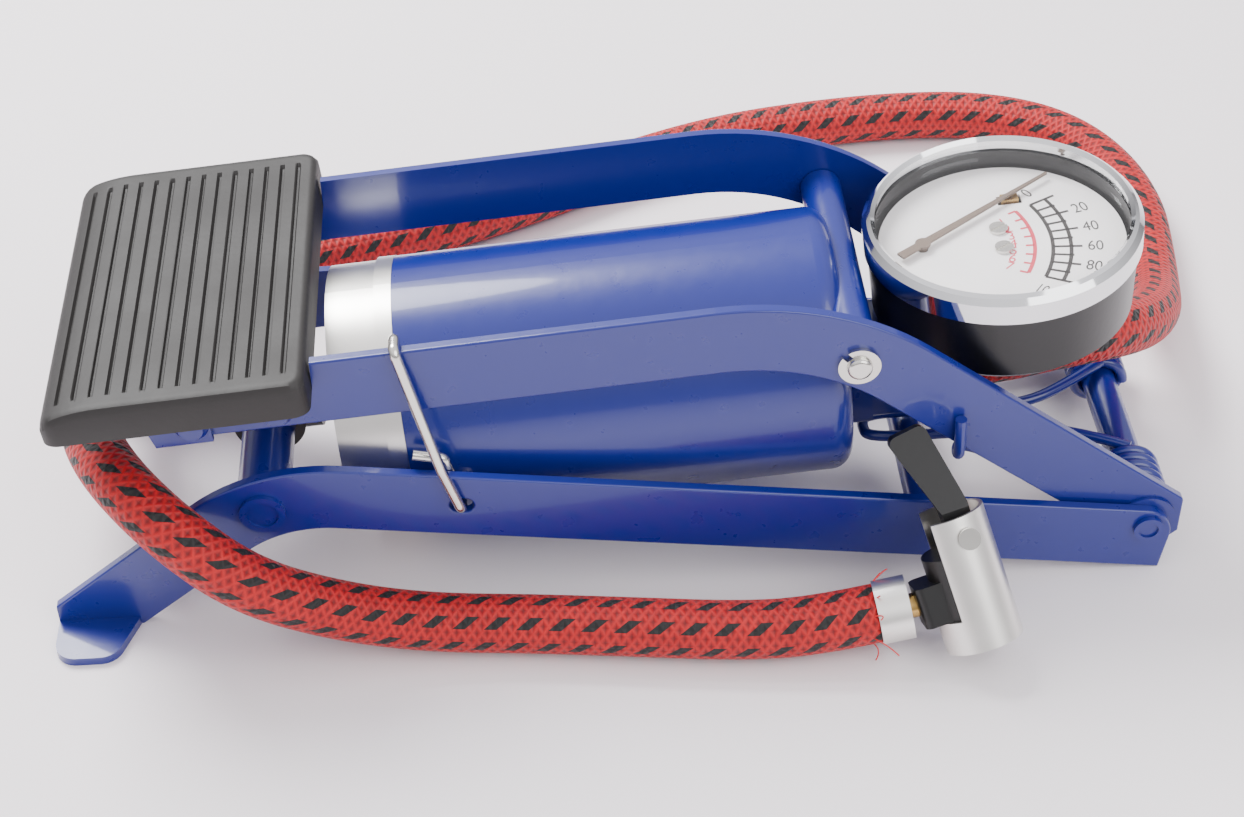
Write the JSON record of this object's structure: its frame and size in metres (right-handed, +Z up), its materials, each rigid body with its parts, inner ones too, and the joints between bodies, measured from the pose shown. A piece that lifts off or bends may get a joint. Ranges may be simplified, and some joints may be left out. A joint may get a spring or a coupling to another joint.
{
  "type": "foot air pump",
  "caption": "Foot pump for tyres: cranked pedal lever over a bent base drives an air cylinder with a dial gauge and a braided hose with a clip-on valve chuck.",
  "frame": {"origin": "on the floor, in the middle of the length and width of the frame, hose not counted", "axes": "+X along the pump towards the frame hinge and gauge, +Y across it towards the hose loop, +Z up"},
  "size_m": [0.2577, 0.1983, 0.0725],
  "materials": {
    "blue_enamel": "gloss blue enamel",
    "plated_steel": "bright plated steel",
    "pad_rubber": "grooved dark rubber",
    "zinc_plate": "pale zinc plate",
    "black_plastic": "black moulded plastic",
    "seal_rubber": "black rubber",
    "block_aluminium": "cast block enamelled blue",
    "brass": "plain brass",
    "housing_black": "black satin paint",
    "dial_white": "white printed dial",
    "needle_metal": "thin dark pointer",
    "clear_lens": "clear lens",
    "bezel_chrome": "bright chrome",
    "red_braid": "red braid with black tracers"
  },
  "bodies": {
    "base": {"base_bar_near": "blue_enamel", "base_bar_far": "blue_enamel", "hinge_axle": "blue_enamel", "rod_axle": "blue_enamel", "hinge_tube": "blue_enamel", "hinge_washers": "blue_enamel", "base_cross_bar": "blue_enamel", "rod_spacers": "blue_enamel", "torsion_spring": "blue_enamel", "hose_front": "red_braid", "hose_ferrule_front": "zinc_plate", "chuck_shell": "zinc_plate", "chuck_seal": "seal_rubber", "chuck_core": "black_plastic", "chuck_pin": "plated_steel", "chuck_stem": "brass"},
    "lever": {"lever_bar_near": "blue_enamel", "lever_bar_far": "blue_enamel", "pedal_plate": "blue_enamel", "pedal_brackets": "blue_enamel", "pedal_rivets": "blue_enamel", "pedal_pad": "pad_rubber", "pivot_rivets": "plated_steel", "push_washers": "plated_steel"},
    "rod": {"rod_eye": "black_plastic", "piston_rod": "plated_steel", "piston": "black_plastic", "piston_cup": "seal_rubber", "piston_nut": "plated_steel"},
    "barrel": {"barrel_shell": "blue_enamel", "pivot_tube": "blue_enamel", "pivot_pin": "plated_steel", "end_collar": "zinc_plate", "rod_guide": "black_plastic", "outlet_block": "block_aluminium", "check_spring": "plated_steel", "gauge_stem": "brass", "gauge_housing": "housing_black", "gauge_dial": "dial_white", "dial_posts": "brass", "dial_screws": "plated_steel", "bourdon_tube": "brass", "gauge_movement": "brass", "dial_stop": "brass", "gauge_lens": "clear_lens", "gauge_bezel": "bezel_chrome", "hose_nipple": "brass", "hose_back": "red_braid"},
    "needle": {"needle": "needle_metal"},
    "latch": {"latch_wire": "plated_steel"},
    "thumb_lever": {"chuck_lever": "black_plastic"},
    "check_ball": {"check_ball": "plated_steel"}
  },
  "joints": [
    {"name": "lever_hinge", "type": "hinge", "parent": "base", "child": "lever", "pos_m": [0.109, 0, 0.0117], "axis": [0, 1, 0], "range_deg": [0, 45], "deforming": ["torsion_spring", "latch_wire"]},
    {"name": "rod_swing", "type": "hinge", "parent": "base", "child": "rod", "pos_m": [-0.0716, 0, 0.0296], "axis": [0, -1, 0], "range_deg": [0, 8.46], "deforming": ["hose_back", "hose_front"]},
    {"name": "barrel_stroke", "type": "slide", "parent": "rod", "child": "barrel", "axis": [0.9962, 0, 0.0872], "range_m": [0, 0.05797], "deforming": ["hose_back", "hose_front"]},
    {"name": "needle_turn", "type": "hinge", "parent": "barrel", "child": "needle", "pos_m": [0.0643, 0, 0.05615], "axis": [0.0872, 0, -0.9962], "range_deg": [0, 64], "stiffness_Nm_per_rad": 0.0001},
    {"name": "latch_swing", "type": "hinge", "parent": "base", "child": "latch", "pos_m": [-0.032, -0.0333, 0.02848], "axis": [1, 0, 0], "range_deg": [0, 30], "deforming": ["latch_wire"]},
    {"name": "thumb_flip", "type": "hinge", "parent": "base", "child": "thumb_lever", "pos_m": [0.06699, -0.04431, 0.02488], "axis": [0, -0.8404, 0.5419], "range_deg": [0, 75]},
    {"name": "check_lift", "type": "slide", "parent": "barrel", "child": "check_ball", "axis": [0.9962, 0, 0.0872], "range_m": [0, 0.0015], "stiffness_N_per_m": 100, "springref_m": -0.001}
  ],
  "couplings": [
    {"joint": "rod_swing", "follows": "lever_hinge", "ratio": 0.18758},
    {"joint": "barrel_stroke", "follows": "lever_hinge", "m_per_rad": 0.073795}
  ]
}
